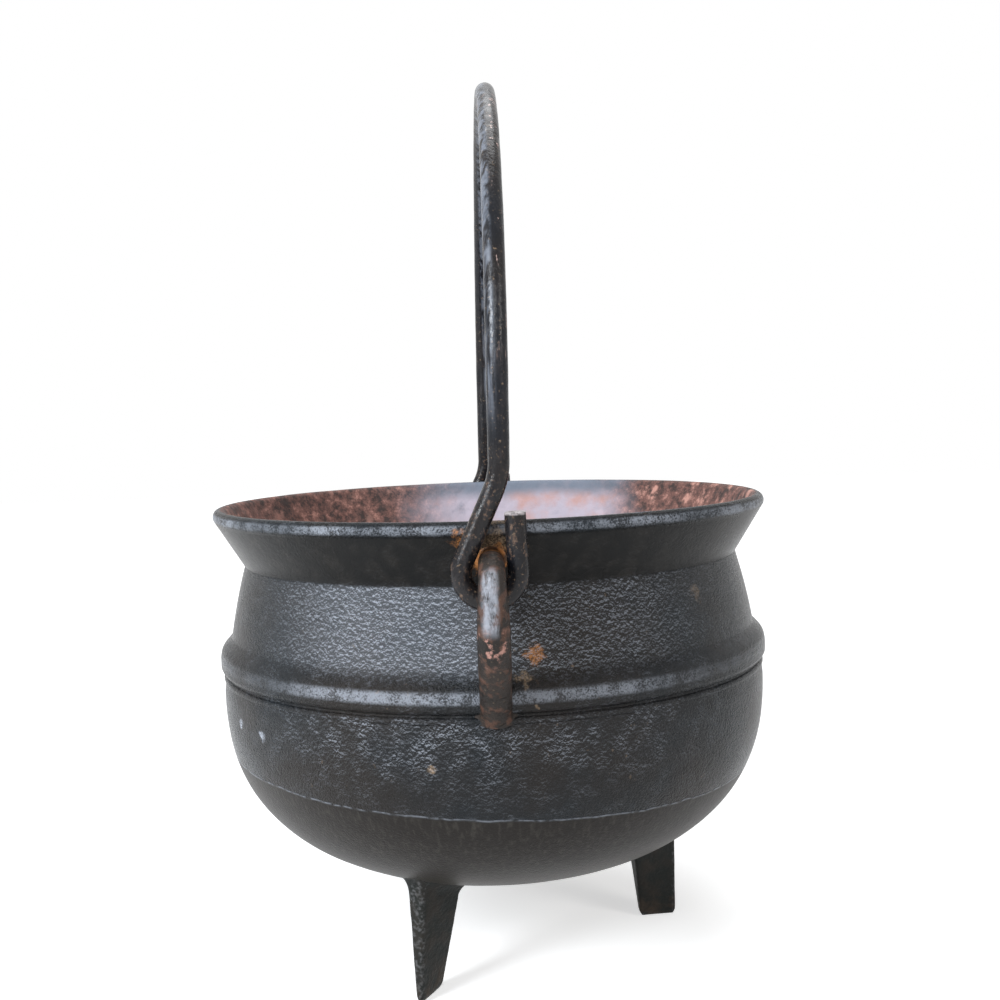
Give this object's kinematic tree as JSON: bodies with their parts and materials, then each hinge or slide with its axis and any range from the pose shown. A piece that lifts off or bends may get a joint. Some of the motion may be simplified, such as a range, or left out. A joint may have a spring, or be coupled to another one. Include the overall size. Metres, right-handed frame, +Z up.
{
  "type": "three-legged bean pot",
  "caption": "Cast iron cooking pot with a round belly, flared rim and ribbed shoulder, standing on keel-shaped legs, with a swinging rod bail hooked through cast ears.",
  "frame": {"origin": "On the ground under the pot's axis, midway between the ears.", "axes": "+Z up along the pot's axis; +Y from the pot's axis to the back ear, and the bail's pivot line lies along Y; +X to the right of someone facing the front ear."},
  "size_m": [0.23, 0.2708, 0.3566],
  "materials": {
    "pot_iron": "sand-cast, dark, faintly oiled, with light rust",
    "ear_iron": "sand-cast, rubbed, with rust at the roots",
    "leg_iron": "sand-cast, scaled and sooty",
    "bail_iron": "forged, dark, rubbed bare in streaks"
  },
  "bodies": {
    "pot": {"bowl": "pot_iron", "rim": "pot_iron", "shoulder_rib": "pot_iron", "fine_bead": "pot_iron", "ear_front": "ear_iron", "ear_back": "ear_iron", "leg_front_left": "leg_iron", "leg_right": "leg_iron", "leg_back_left": "leg_iron"},
    "bail": {"bail_arch": "bail_iron", "bail_eye_front": "bail_iron", "bail_eye_back": "bail_iron"}
  },
  "joints": [
    {"name": "bail_swing", "type": "hinge", "parent": "pot", "child": "bail", "pos_m": [0, 0, 0.1738], "axis": [0, 1, 0], "range_deg": [-150, 150]}
  ]
}
